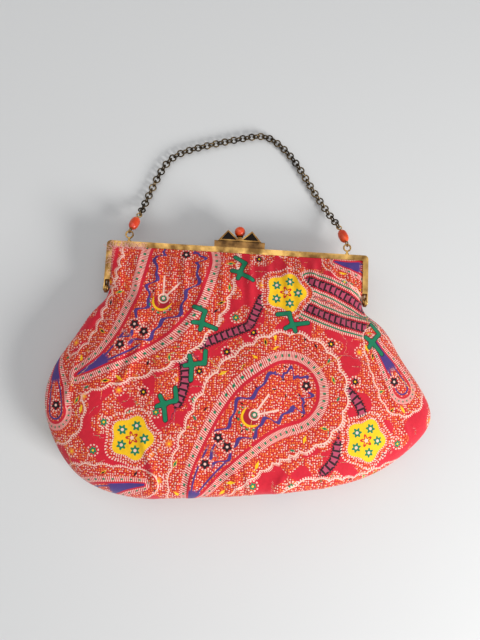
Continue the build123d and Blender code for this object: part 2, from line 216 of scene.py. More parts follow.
LAMPS = [
    ("Key", (0.95, -0.65, 0.62), 0.45, 19.0),
    ("Fill", (-0.8, 0.5, 1.1), 1.4, 4.5),
    ("Top", (0.1, 0.1, 1.5), 1.2, 6.5),
]


# Shape helpers

def spline_points(points, count):
    """A smooth line through some points, given back as count points evenly apart."""
    data = np.array(points, float)
    gaps = np.hypot(*np.diff(data, axis=0).T)
    knots = np.concatenate([[0], np.cumsum(gaps)])
    n = len(data)
    system = np.zeros((n, n))
    right = np.zeros((n, 2))
    system[0, 0] = system[-1, -1] = 1
    for i in range(1, n - 1):
        system[i, i - 1] = gaps[i - 1]
        system[i, i] = 2 * (gaps[i - 1] + gaps[i])
        system[i, i + 1] = gaps[i]
        right[i] = 6 * ((data[i + 1] - data[i]) / gaps[i] - (data[i] - data[i - 1]) / gaps[i - 1])
    bend = np.linalg.solve(system, right)
    t = np.linspace(0, knots[-1], 600)
    k = np.clip(np.searchsorted(knots, t, side="right") - 1, 0, n - 2)
    h = gaps[k][:, None]
    a = (knots[k + 1] - t)[:, None]
    b = (t - knots[k])[:, None]
    line = bend[k] * a ** 3 / (6 * h) + bend[k + 1] * b ** 3 / (6 * h)
    line += (data[k] / h - bend[k] * h / 6) * a + (data[k + 1] / h - bend[k + 1] * h / 6) * b
    run = np.concatenate([[0], np.cumsum(np.hypot(*np.diff(line, axis=0).T))])
    even = np.linspace(0, run[-1], count)
    return np.stack([np.interp(even, run, line[:, 0]), np.interp(even, run, line[:, 1])], 1)


LEFT_LINE = spline_points(LEFT_EDGE, 401)
RIGHT_LINE = spline_points(RIGHT_EDGE, 401)


def along(line, share):
    place = np.clip(share, 0, 1) * 400
    low = np.minimum(place.astype(int), 399)
    part = (place - low)[..., None]
    return line[low] * (1 - part) + line[low + 1] * part


def bulge(across, squareness):
    return np.sqrt(np.maximum(0, 1 - np.abs(across) ** squareness))


def fold_depth(share, across):
    depth = np.zeros_like(across)
    for start, end, deep, width in FOLDS:
        middle = start + (end - start) * share
        drop = deep * np.sin(np.pi * np.minimum(1, 0.2 + share))
        depth += drop / (1 + ((across - middle) / width) ** 4)
    return depth * bulge(across, 2)


def smooth(low, high, value):
    t = np.clip((value - low) / (high - low), 0, 1)
    return t * t * (3 - 2 * t)


def pouch_surface(side, down, across):
    """The cloth of one side: down runs from 0 at the frame to 1 at the hem, across from -1 to 1."""
    share = np.clip((down - THROAT_SHARE) / (1 - THROAT_SHARE), 0, 1)
    rise = np.clip(1 - down / THROAT_SHARE, 0, 1)
    left = along(LEFT_LINE, share)
    right = along(RIGHT_LINE, share)
    foot = left + (right - left) * ((across + 1) / 2)[..., None]
    if side > 0:
        swing = np.sin(np.minimum(1, share / 0.45) * np.pi / 2)
        full = THROAT_BELLY + (CROWN_BELLY - THROAT_BELLY) * swing
        start, square, square_top = 0.45, FRONT_SQUARENESS, FRONT_SQUARENESS
        start_height = THROAT_BELLY
    else:
        full = BACK_DEPTH - BACK_LIFT * np.maximum(0, 1 - share / 0.24) ** 2
        start, square, square_top = 0.75, BACK_SQUARENESS, BACK_SQUARENESS - 4 * rise
        start_height = BACK_DEPTH - BACK_LIFT

    # below the hinges, closed along the hem
    fall = np.sqrt(np.maximum(0, 1 - np.maximum(0, (share - start) / (1 - start)) ** 2.4))
    height = HEM_HALF * (1 - smooth(0.96, 1, share)) + (full - HEM_HALF) * fall
    fold = fold_depth(share, across) if side > 0 else 0
    lower = np.maximum(0, height * bulge(across, square) - fold * np.minimum(1, height / THROAT_BELLY))

    # above the hinges, drawn down into the jaw's groove
    ease = smooth(0, 1, rise * THROAT_HEIGHT / LIP_RUN)
    edge = GROOVE_HEIGHT * ease
    crown = GROOVE_HEIGHT + (start_height - GROOVE_HEIGHT) * np.maximum(0, 1 - (rise / 0.92) ** 1.4)
    x_top = THROAT_HALF * across
    round_top = bulge(np.minimum(1, np.abs(x_top) / THROAT_SLACK), square_top)
    fold_top = fold_depth(np.zeros_like(across), across) * (1 - rise) if side > 0 else 0
    fold_top = fold_top * np.minimum(1, crown / THROAT_BELLY)
    upper = edge + np.maximum(0, (crown - edge) * round_top - fold_top)

    top = rise > 0
    x = np.where(top, x_top, foot[..., 0])
    y = np.where(top, HINGE_Y + THROAT_HEIGHT * rise, foot[..., 1] + FRAME_TOP)
    z = SEAM_Z + side * (SEAM_HALF + np.where(top, upper, lower))
    return x, y, z


def gathers(x, y, down, across):
    """Small gathers below the frame and soft wrinkles lower down, in millimetres."""
    near_frame = np.exp(-((down - 0.10) / 0.13) ** 2) * smooth(0.015, 0.06, down)
    wave = np.sin(x * 0.52 + 1.4 * np.sin(x * 0.13) + y * 0.03)
    fine = np.sin(x * 0.9 + 2.0 + y * 0.05)
    ripple = near_frame * (0.75 * wave + 0.35 * fine)
    low = smooth(0.55, 0.95, down) * (1 - smooth(0.985, 1, down))
    hem = low * (0.9 * np.sin(x * 0.21 + 0.6 * np.sin(y * 0.05)) + 0.35 * np.sin(x * 0.47 + 1))
    soft = 0.5 * np.sin(x * 0.045 + y * 0.075) + 0.4 * np.sin(x * -0.07 + y * 0.05 + 2)
    edge = 1 - smooth(0.8, 1.0, np.abs(across))
    return (ripple + hem + soft * smooth(0.1, 0.3, down) * (1 - smooth(0.9, 1, down))) * edge


def crease(x, y, start, end, depth, width):
    """A shallow valley along a line, with a ridge on one side and a lower one on the other."""
    a = np.array(start, float)
    b = np.array(end, float)
    run = b - a
    length = np.hypot(*run)
    t = ((x - a[0]) * run[0] + (y - a[1]) * run[1]) / length ** 2
    off = ((x - a[0]) * -run[1] + (y - a[1]) * run[0]) / length
    fade = smooth(-0.15, 0.2, t) * (1 - smooth(0.75, 1.15, t))
    valley = np.exp(-(off / width) ** 2)
    ridge = np.exp(-((off - 1.7 * width) / width) ** 2)
    far_ridge = 0.6 * np.exp(-((off + 1.9 * width) / (1.4 * width)) ** 2)
    return fade * depth * (ridge + far_ridge - 0.5 * valley)


# Print fields: each motif's own coordinates, kept on the mesh for the material to draw from

def spine_field(x, y, spine):
    """Scaled distance out from a tapering stroke, the length round it, and its radius there."""
    best = np.full(x.shape, 1e9)
    run = np.zeros(x.shape)
    local = np.zeros(x.shape)
    line = spline_points([p[:2] for p in spine], SPINE_STEPS)
    knots = np.linspace(0, 1, len(spine))
    share = np.linspace(0, 1, SPINE_STEPS)
    radius = np.interp(share, knots, [p[2] for p in spine])
    scale = np.interp(share, knots, [p[3] for p in spine])
    steps = np.concatenate([[0], np.cumsum(np.hypot(*np.diff(line, axis=0).T))])
    heading = np.gradient(line, axis=0)
    heading /= np.hypot(*heading.T)[:, None]
    for i in range(SPINE_STEPS):
        dx = x - line[i, 0]
        dy = y - line[i, 1]
        gap = (np.hypot(dx, dy) - radius[i]) / scale[i]
        ahead = heading[i, 0] * dx + heading[i, 1] * dy
        turn = np.arctan2(heading[i, 0] * dy - heading[i, 1] * dx, -ahead)
        if i == 0:
            length = (radius[0] + 10) * turn
        else:
            length = np.sign(turn) * ((radius[0] + 10) * np.pi / 2 + steps[i] + ahead)
        closer = gap < best
        best = np.where(closer, gap, best)
        run = np.where(closer, length, run)
        local = np.where(closer, radius[i], local)
    return best, run, local


def stroke_distance(x, y, strokes):
    """Distance to the nearest of some polylines."""
    best = np.full(x.shape, 1e9)
    for stroke in strokes:
        for (ax, ay), (bx, by) in zip(stroke, stroke[1:]):
            run = (bx - ax) ** 2 + (by - ay) ** 2
            t = np.clip(((x - ax) * (bx - ax) + (y - ay) * (by - ay)) / run, 0, 1)
            best = np.minimum(best, np.hypot(x - ax - t * (bx - ax), y - ay - t * (by - ay)))
    return best


def nearest(x, y, places):
    """Offset from the nearest of some places, and which one it is."""
    spots = np.array(places, float)
    dx = x[..., None] - spots[:, 0]
    dy = y[..., None] - spots[:, 1]
    pick = np.argmin(dx ** 2 + dy ** 2, axis=-1)[..., None]
    dx = np.take_along_axis(dx, pick, -1)[..., 0]
    dy = np.take_along_axis(dy, pick, -1)[..., 0]
    return dx, dy, pick[..., 0]


def local_axes(x, y, place):
    """Coordinates about a motif that stands at a place and is turned by some degrees."""
    across, up, angle = place
    c = math.cos(math.radians(angle))
    s = math.sin(math.radians(angle))
    dx = x - across
    dy = y - up
    return c * dx + s * dy, -s * dx + c * dy


def scatter(count, apart, seed, bounds):
    """Places at least a set distance apart, drawn at random inside bounds."""
    source = random.Random(seed)
    places = []
    for _ in range(count * 60):
        x = source.uniform(bounds[0], bounds[1])
        y = source.uniform(bounds[2], bounds[3])
        if all((x - a) ** 2 + (y - b) ** 2 > apart ** 2 for a, b in places):
            places.append((x, y))
        if len(places) == count:
            break
    return places


FLORETS = scatter(150, 14, 7, PRINT_BOUNDS)
SPRIGS = scatter(520, 7.0, 23, PRINT_BOUNDS)


def print_fields(x, y):
    """Motif coordinates for points of flat cloth, measured from the frame's top centre."""
    gap = np.full(x.shape, 1e9)
    run = np.zeros(x.shape)
    local = np.zeros(x.shape)
    for spine in PAISLEYS:
        near, length, radius = spine_field(x, y, spine)
        closer = near < gap
        gap = np.where(closer, near, gap)
        run = np.where(closer, length, run)
        local = np.where(closer, radius, local)
    ladder = np.full(x.shape, 1e9)
    ladder_run = np.zeros(x.shape)
    striped = np.zeros(x.shape)
    for number, line in enumerate(LADDERS):
        points = spline_points(line, LADDER_STEPS)
        steps = np.concatenate([[0], np.cumsum(np.hypot(*np.diff(points, axis=0).T))])
        dx, dy, pick = nearest(x, y, points)
        heading = np.gradient(points, axis=0)
        heading /= np.hypot(*heading.T)[:, None]
        side = heading[pick, 0] * dy - heading[pick, 1] * dx
        ahead = heading[pick, 0] * dx + heading[pick, 1] * dy
        beyond = np.where((pick == 0) | (pick == LADDER_STEPS - 1), np.abs(ahead), 0)
        off = np.sign(side) * np.hypot(side, beyond)
        closer = np.abs(off) < np.abs(ladder)
        ladder = np.where(closer, off, ladder)
        ladder_run = np.where(closer, steps[pick] + ahead, ladder_run)
        striped = np.where(closer, 1.0 * (number >= FIRST_STRIPED_LADDER), striped)
    leaf = np.full(x.shape, 1e9)
    for place in LEAVES:
        leaf = np.minimum(leaf, stroke_distance(*local_axes(x, y, place), LEAF_STROKES))
    crescent_x = np.full(x.shape, 99.0)
    crescent_y = np.full(x.shape, 99.0)
    for place in CRESCENTS:
        dx, dy = local_axes(x, y, place)
        closer = np.hypot(dx, dy) < np.hypot(crescent_x, crescent_y)
        crescent_x = np.where(closer, dx, crescent_x)
        crescent_y = np.where(closer, dy, crescent_y)
    mx, my, _ = nearest(x, y, MEDALLIONS)
    fx, fy, kind = nearest(x, y, FLORETS)
    dark_x, dark_y, _ = nearest(x, y, DARK_FLOWERS)
    sx, sy, turn = nearest(x, y, SPRIGS)
    angle = turn * 2.4
    plain = np.zeros_like(x)
    return {
        "paisley": (run, gap, local),
        "ladder": (ladder_run, ladder, striped),
        "medal": (mx, my, leaf),
        "floret": (fx, fy, (kind % 7).astype(float)),
        "dark": (dark_x, dark_y, plain),
        "crescent": (crescent_x, crescent_y, plain),
        "sprig": (np.cos(angle) * sx + np.sin(angle) * sy, np.cos(angle) * sy - np.sin(angle) * sx,
                  (turn % 5).astype(float)),
    }


def flat_cloth(x, y, z, down, across):
    """Flat coordinates of a curved grid, let out where the cloth turns down to its sides and hem."""
    steps = [np.diff(c, axis=1) for c in (x, y, z)]
    extra = np.sqrt(sum(c ** 2 for c in steps)) - np.abs(steps[0])
    extra *= 0.5 + 0.5 * smooth(0.75, 0.95, np.abs(across[:, 1:]))
    run = np.concatenate([np.zeros((x.shape[0], 1)), np.cumsum(extra, axis=1)], axis=1)
    middle = x.shape[1] // 2
    steps = [np.diff(c, axis=0) for c in (x, y, z)]
    fall = np.sqrt(sum(c ** 2 for c in steps)) - np.hypot(steps[0], steps[1])
    fall *= smooth(0.5, 0.75, down[1:])
    drop = np.concatenate([np.zeros((1, x.shape[1])), np.cumsum(fall, axis=0)], axis=0)
    return x + run - run[:, middle:middle + 1], y - drop


def outward(x, y, z, side):
    """Unit normals of a curved grid, pointing out of the pouch."""
    rows = np.stack([np.gradient(c, axis=0) for c in (x, y, z)], -1)
    columns = np.stack([np.gradient(c, axis=1) for c in (x, y, z)], -1)
    normal = np.cross(rows, columns) * side
    return normal / np.maximum(1e-9, np.linalg.norm(normal, axis=-1))[..., None]


def link(obj):
    bpy.context.scene.collection.objects.link(obj)
    return obj


def finish_mesh(name, mesh_data, material):
    """Turn a bmesh into a smooth-shaded object with its faces outwards."""
    mesh = bpy.data.meshes.new(name)
    bmesh.ops.recalc_face_normals(mesh_data, faces=mesh_data.faces)
    mesh_data.to_mesh(mesh)
    mesh_data.free()
    mesh.materials.append(material)
    shade_smooth(mesh)
    return link(bpy.data.objects.new(name, mesh))


def shade_smooth(mesh):
    for polygon in mesh.polygons:
        polygon.use_smooth = True


# Node helpers

class Net:
    """Short names for building a node tree."""

    def __init__(self, tree):
        self.tree = tree

    def node(self, kind, **settings):
        made = self.tree.nodes.new(kind)
        for key, value in settings.items():
            setattr(made, key, value)
        return made

    def put(self, socket, value):
        if isinstance(value, bpy.types.NodeSocket):
            self.tree.links.new(value, socket)
        else:
            socket.default_value = value

    def math(self, operation, *values, clamp=False):
        made = self.node("ShaderNodeMath", operation=operation, use_clamp=clamp)
        for socket, value in zip(made.inputs, values):
            self.put(socket, value)
        return made.outputs[0]

    def mix(self, factor, first, second, blend="MIX"):
        made = self.node("ShaderNodeMix", data_type="RGBA", blend_type=blend)
        self.put(made.inputs[0], factor)
        self.put(made.inputs[6], first)
        self.put(made.inputs[7], second)
        return made.outputs[2]

    def split(self, vector):
        made = self.node("ShaderNodeSeparateXYZ")
        self.put(made.inputs[0], vector)
        return made.outputs

    def attribute(self, name):
        return self.split(self.node("ShaderNodeAttribute", attribute_name=name).outputs["Vector"])

    def below(self, value, edge, soft=0.12):
        """1 below an edge and 0 above it, with a softened step."""
        made = self.node("ShaderNodeMapRange", clamp=True)
        self.put(made.inputs[0], value)
        made.inputs[1].default_value = edge - soft
        made.inputs[2].default_value = edge + soft
        made.inputs[3].default_value = 1
        made.inputs[4].default_value = 0
        return made.outputs[0]

    def above(self, value, edge, soft=0.12):
        return self.math("SUBTRACT", 1.0, self.below(value, edge, soft))

    def band(self, value, low, high, soft=0.12):
        return self.math("MULTIPLY", self.below(value, high, soft), self.above(value, low, soft))

    def wave(self, value, period, phase=0.0):
        turn = self.math("MULTIPLY_ADD", value, 2 * math.pi / period, phase)
        return self.math("SINE", turn)

    def ticks(self, value, period, share=0.0, soft=0.35):
        """1 on evenly spaced ticks along a length; a higher share makes them narrower."""
        wave = self.wave(value, period)
        made = self.node("ShaderNodeMapRange", clamp=True)
        self.put(made.inputs[0], wave)
        made.inputs[1].default_value = share - soft
        made.inputs[2].default_value = share + soft
        return made.outputs[0]

    def all(self, *masks):
        result = masks[0]
        for mask in masks[1:]:
            result = self.math("MULTIPLY", result, mask)
        return result

    def length(self, x, y):
        return self.math("SQRT", self.math("ADD", self.math("MULTIPLY", x, x), self.math("MULTIPLY", y, y)))

    def flower(self, x, y, petals, depth):
        """Radius and angle about a flower's middle, and the radius with petals cut into it."""
        radius = self.length(x, y)
        angle = self.math("ARCTAN2", y, x)
        lobes = self.math("SINE", self.math("MULTIPLY", angle, petals))
        return radius, angle, self.math("MULTIPLY_ADD", lobes, depth, radius)

    def noise(self, place, scale, detail):
        made = self.node("ShaderNodeTexNoise")
        self.put(made.inputs["Vector"], place)
        made.inputs["Scale"].default_value = scale
        made.inputs["Detail"].default_value = detail
        return made.outputs[0]


def new_group(name, **outputs):
    """An empty node group with named outputs."""
    group = bpy.data.node_groups.new(name, "ShaderNodeTree")
    for label, kind in outputs.items():
        group.interface.new_socket(label, in_out="OUTPUT", socket_type=kind)
    net = Net(group)
    return net, net.node("NodeGroupOutput")


# The print, drawn motif by motif

def draw_ground(net, position, dotted, red):
    """Plain ground with drifts of dots, and small flowers ringed with dots between them."""
    drift = net.noise(position, 0.055, 0)
    color = net.mix(net.below(drift, 0.50, 0.01), dotted, red)
    x, y, variety = net.attribute("floret")
    radius, angle, petals = net.flower(x, y, 6.0, 0.5)
    petal_color = net.mix(net.below(variety, 3.5, 0.1), GREEN, BLACK)
    petal_color = net.mix(net.below(variety, 1.5, 0.1), petal_color, ORANGE)
    ring_dots = net.all(net.band(radius, 3.3, 4.3), net.ticks(net.math("MULTIPLY", angle, 3.8), 2.388))
    color = net.mix(ring_dots, color, PALE)
    color = net.mix(net.below(petals, 2.3), color, petal_color)
    return net.mix(net.below(radius, 0.8), color, GOLD)


def draw_ladders(net, color, red):
    """Ladders of mauve cells, two of them between green and dashed stripes."""
    run, off, striped = net.attribute("ladder")
    across = net.math("ABSOLUTE", off)
    stripes = net.above(striped, 0.5, 0.01)
    dashes = net.mix(net.ticks(run, 1.5), red, PALE)
    for edge, stripe in ((9.2, dashes), (7.4, GREEN), (6.2, dashes)):
        color = net.mix(net.all(stripes, net.below(across, edge)), color, stripe)
    color = net.mix(net.below(across, 4.7), color, red)
    color = net.mix(net.all(net.below(across, 4.2), net.ticks(run, 1.9, 0.55, 0.15)), color, BLACK)
    color = net.mix(net.below(across, 3.3), color, BLACK)
    wobble = net.math("MULTIPLY_ADD", net.wave(run, 4.4, 0.8), 0.6, across)
    return net.mix(net.all(net.below(wobble, 2.4), net.ticks(run, 4.4, -0.5, 0.12)), color, MAUVE)


def draw_paisleys(net, color, dotted, red):
    """Paisleys from the scalloped edge inwards, with leaves and dashes in their borders."""
    run, gap, _ = net.attribute("paisley")
    scallop = net.math("ABSOLUTE", net.math("SINE", net.math("MULTIPLY", run, math.pi / 11.5)))
    outer = net.math("MULTIPLY_ADD", scallop, -2.6, gap)
    color = net.mix(net.all(net.below(outer, 21.6), net.ticks(run, 1.35, 0.1)), color, PALE)
    color = net.mix(net.below(outer, 20.0), color, PALE)
    color = net.mix(net.below(outer, 19.0), color, dotted)
    x, y, kind = net.attribute("sprig")
    leaf = net.math("ADD", net.math("ABSOLUTE", y), net.math("MULTIPLY", net.math("ABSOLUTE", x), 0.36))
    leaf_color = net.mix(net.below(kind, 2.5, 0.1), BLACK, GREEN)
    leaf_color = net.mix(net.below(kind, 0.5, 0.1), leaf_color, GOLD)
    haloed = net.math("MAXIMUM", net.above(kind, 3.5, 0.1), net.below(kind, 1.5, 0.1))
    border = net.band(outer, 9.2, 18.0)
    color = net.mix(net.all(border, haloed, net.below(leaf, 1.25)), color, GOLD)
    color = net.mix(net.all(border, net.below(leaf, 0.9)), color, leaf_color)
    color = net.mix(net.below(gap, 8.4), color, red)
    for low, high, period, share, soft, dash in ((5.8, 8.0, 1.35, -0.1, 0.35, PALE),
                                                 (3.9, 5.8, 1.35, 0.3, 0.35, PALE),
                                                 (3.8, 5.9, 6.0, 0.62, 0.1, GREEN),
                                                 (1.7, 3.9, 1.35, -0.1, 0.35, PALE)):
        color = net.mix(net.all(net.band(gap, low, high), net.ticks(run, period, share, soft)), color, dash)
    color = net.mix(net.below(gap, 1.2), color, red)
    color = net.mix(net.below(gap, -0.8), color, dotted)
    seeds = net.all(net.below(gap, -1.0), net.below(leaf, 0.62), net.below(kind, 2.5, 0.1))
    return net.mix(seeds, color, BLACK)


def draw_scrolls(net, color):
    """Indigo scrolls along both sides of each paisley, meeting in its tail."""
    run, gap, local = net.attribute("paisley")
    swing = net.math("MULTIPLY_ADD", net.wave(run, 24.0, 0.7), 2.7, net.math("ADD", gap, 7.0))
    swing = net.math("MULTIPLY_ADD", net.wave(run, 12.0, 1.9), 1.3, swing)
    swell = net.math("MULTIPLY_ADD", net.wave(run, 12.0, 0.2), 0.45, 1.15)
    scroll = net.math("SUBTRACT", net.math("ABSOLUTE", swing), swell)
    wide = net.all(net.above(local, 9.0, 0.5), net.below(gap, -2.0), net.below(scroll, 0.0))
    color = net.mix(wide, color, INDIGO)
    thin = net.math("ABSOLUTE", net.math("ADD", gap, 3.4))
    slim = net.all(net.below(local, 11.0, 0.5), net.above(local, 4.5, 0.3), net.below(thin, 0.9))
    color = net.mix(slim, color, INDIGO)
    return net.mix(net.all(net.below(local, 4.8, 0.3), net.below(gap, -0.6)), color, INDIGO)


def draw_crescents(net, color):
    """Pale lines, a yellow crescent and a small flower in the middle of each large paisley."""
    x, y, _ = net.attribute("crescent")
    spread = net.length(x, y)
    offset = net.length(net.math("ADD", x, 2.6), y)
    spire = net.math("MULTIPLY_ADD", net.math("ABSOLUTE", y), 2.6, x)
    line = net.math("ABSOLUTE", net.math("ADD", spire, 2.0))
    behind = net.band(x, -19.0, -2.0, 0.3)
    color = net.mix(net.all(behind, net.below(line, 1.9, 0.4), net.below(spread, 20.0)), color, PALE)
    round_run = net.math("MULTIPLY", net.math("ARCTAN2", y, x), 9.0)
    leaves = net.all(net.band(spread, 8.2, 9.6), net.ticks(round_run, 4.71, 0.2), net.above(x, 1.0))
    color = net.mix(leaves, color, GREEN)
    color = net.mix(net.all(net.below(spread, 7.2), net.above(offset, 7.0)), color, GOLD)
    color = net.mix(net.all(net.below(spread, 5.6), net.above(x, -3.0)), color, DEEP_RED)
    color = net.mix(net.band(offset, 2.9, 3.9), color, PALE)
    color = net.mix(net.below(offset, 2.2), color, GREEN)
    return net.mix(net.below(offset, 1.1), color, PALE)


def draw_dark_flowers(net, color):
    """Dark five-petalled flowers in a ring of pale dots."""
    x, y, _ = net.attribute("dark")
    radius, angle, petals = net.flower(x, y, 5.0, 0.6)
    color = net.mix(net.below(radius, 4.6), color, WARM_RED)
    dots = net.ticks(net.math("MULTIPLY", angle, 4.0), 2.094, -0.2)
    color = net.mix(net.all(net.band(radius, 3.4, 4.5), dots), color, PALE)
    color = net.mix(net.below(petals, 2.9), color, BLACK)
    return net.mix(net.below(radius, 0.9), color, PALE)


def draw_medallions(net, color, dotted):
    """Five-lobed yellow medallions, each with five green flowers round a small red one."""
    x, y, _ = net.attribute("medal")
    radius = net.length(x, y)
    angle = net.math("ARCTAN2", y, x)
    lobes = net.math("COSINE", net.math("MULTIPLY", angle, 5.0))
    rim = net.math("MULTIPLY_ADD", lobes, -1.5, radius)
    edge_run = net.math("MULTIPLY", angle, 14.0)
    color = net.mix(net.all(net.below(rim, 19.6), net.ticks(edge_run, 1.466, 0.1)), color, PALE)
    color = net.mix(net.below(rim, 18.2), color, dotted)
    color = net.mix(net.all(net.band(rim, 14.0, 15.2), net.ticks(edge_run, 1.466)), color, PALE)
    color = net.mix(net.below(rim, 14.0), color, GOLD)
    sector = net.math("WRAP", angle, math.pi / 5, -math.pi / 5)
    flower_x = net.math("SUBTRACT", net.math("MULTIPLY", net.math("COSINE", sector), radius), 8.8)
    flower_y = net.math("MULTIPLY", net.math("SINE", sector), radius)
    near, _, petals = net.flower(flower_x, flower_y, 6.0, 0.7)
    color = net.mix(net.below(petals, 2.9), color, GREEN)
    color = net.mix(net.below(near, 1.1), color, PALE)
    star = net.math("MULTIPLY_ADD", lobes, 1.3, radius)
    color = net.mix(net.band(star, 1.6, 3.4), color, WARM_RED)
    return net.mix(net.below(radius, 1.3), color, PALE)


def draw_leaves(net, color):
    """Forked green leaves with a dark edge."""
    _, _, forked = net.attribute("medal")
    color = net.mix(net.below(forked, 1.9), color, BLACK)
    return net.mix(net.below(forked, 1.4), color, GREEN)


def print_group(red):
    """The printed pattern: colour fields drawn from the motif coordinates kept on the cloth."""
    net, out = new_group("Paisley print", Color="NodeSocketColor")
    position = net.node("ShaderNodeAttribute", attribute_name="flat").outputs["Vector"]
    dots = net.node("ShaderNodeTexVoronoi", feature="F1", voronoi_dimensions="2D")
    net.put(dots.inputs["Vector"], position)
    dots.inputs["Scale"].default_value = 0.60
    dots.inputs["Randomness"].default_value = 0.6
    speckle, _, _ = net.split(dots.outputs["Color"])
    dot = net.below(dots.outputs["Distance"], 0.29, 0.05)
    dotted = net.mix(dot, WARM_RED, net.mix(net.below(speckle, 0.5, 0.02), ORANGE, PALE))
    color = draw_ground(net, position, dotted, red)
    color = draw_ladders(net, color, red)
    color = draw_paisleys(net, color, dotted, red)
    color = draw_scrolls(net, color)
    color = draw_crescents(net, color)
    color = draw_dark_flowers(net, color)
    color = draw_medallions(net, color, dotted)
    net.put(out.inputs["Color"], draw_leaves(net, color))


def weave_group():
    """Plain weave: crossing threads as a height, and a faint difference in their tone."""
    net, out = new_group("Plain weave", Height="NodeSocketFloat", Tone="NodeSocketFloat")
    u, v, _ = net.attribute("flat")
    weave = net.math("MULTIPLY", net.wave(u, THREAD_PITCH), net.wave(v, THREAD_PITCH))
    tone = net.noise(net.node("ShaderNodeAttribute", attribute_name="flat").outputs["Vector"], 0.35, 5)
    net.put(out.inputs["Height"], net.math("MULTIPLY_ADD", weave, 0.5, tone))
    net.put(out.inputs["Tone"], tone)


def wear_group():
    """Cloudy wear and fine pits, from Object coordinates."""
    net, out = new_group("Metal wear", Mask="NodeSocketFloat", Height="NodeSocketFloat")
    place = net.node("ShaderNodeTexCoord").outputs["Object"]
    ramp = net.node("ShaderNodeMapRange", clamp=True)
    net.put(ramp.inputs[0], net.noise(place, 90, 6))
    ramp.inputs[1].default_value = 0.38
    ramp.inputs[2].default_value = 0.66
    net.put(out.inputs["Mask"], ramp.outputs[0])
    net.put(out.inputs["Height"], net.noise(place, 900, 3))


# Materials

def new_material(name, **constants):
    """A material, its net and its shader, with some of the shader's sockets set."""
    material = bpy.data.materials.new(name)
    material.use_nodes = True
    shader = material.node_tree.nodes["Principled BSDF"]
    for socket, value in constants.items():
        shader.inputs[socket.replace("_", " ")].default_value = value
    return material, Net(material.node_tree), shader


def add_group(net, name):
    return net.node("ShaderNodeGroup", node_tree=bpy.data.node_groups[name])


def bump(net, shader, height, strength, distance):
    made = net.node("ShaderNodeBump")
    made.inputs["Strength"].default_value = strength
    made.inputs["Distance"].default_value = distance
    net.put(made.inputs["Height"], height)
    net.put(shader.inputs["Normal"], made.outputs[0])


def print_material():
    """Printed cotton: the pattern, varied a little in tone, on a plain weave."""
    _, net, shader = new_material("Printed cotton", Roughness=0.82, Specular_IOR_Level=0.25,
                                  Sheen_Weight=0.15)
    weave = add_group(net, "Plain weave")
    shade = net.node("ShaderNodeHueSaturation")
    net.put(shade.inputs["Color"], add_group(net, "Paisley print").outputs["Color"])
    net.put(shade.inputs["Value"], net.math("MULTIPLY_ADD", weave.outputs["Tone"], 0.35, 0.82))
    net.put(shader.inputs["Base Color"], shade.outputs[0])
    bump(net, shader, weave.outputs["Height"], 0.5, 0.0002)


def metal_material(name, color, dark, roughness):
    """Metal, brighter and smoother where it is worn."""
    _, net, shader = new_material(name, Metallic=1)
    wear = add_group(net, "Metal wear")
    net.put(shader.inputs["Base Color"], net.mix(wear.outputs["Mask"], dark, color))
    worn = net.math("MULTIPLY_ADD", wear.outputs["Mask"], -0.18, roughness + 0.15)
    net.put(shader.inputs["Roughness"], worn)
    bump(net, shader, wear.outputs["Height"], 0.15, 0.0001)


def clasp_material():
    """Brass whose sunk fields, below the plate's rim, are painted black as painted shade in the recess."""
    _, net, shader = new_material("Plate brass with painted shade", Metallic=1)
    wear = add_group(net, "Metal wear")
    height = net.split(net.node("ShaderNodeTexCoord").outputs["Object"])[2]
    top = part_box("clasp_plate_front")[1][2]
    # Painted shade: the fields sunk below the plate's rim are coloured black
    sunk = net.below(height, top - 0.0003, 0.0001)
    brass = net.mix(wear.outputs["Mask"], OLD_BRASS, PLATE_BRASS)
    net.put(shader.inputs["Base Color"], net.mix(sunk, brass, PLATE_PAINTED_SHADE))
    net.put(shader.inputs["Roughness"], net.math("MULTIPLY_ADD", sunk, 0.2, 0.34))


def coral_material(color):
    """Polished coral, cloudy and a little translucent."""
    _, net, shader = new_material("Coral", Roughness=0.28, Subsurface_Weight=0.15,
                                  Subsurface_Radius=(0.004, 0.001, 0.0005), Subsurface_Scale=0.3)
    wear = add_group(net, "Metal wear")
    net.put(shader.inputs["Base Color"], net.mix(wear.outputs["Mask"], CORAL_CLOUD, color))


# Cloth pieces

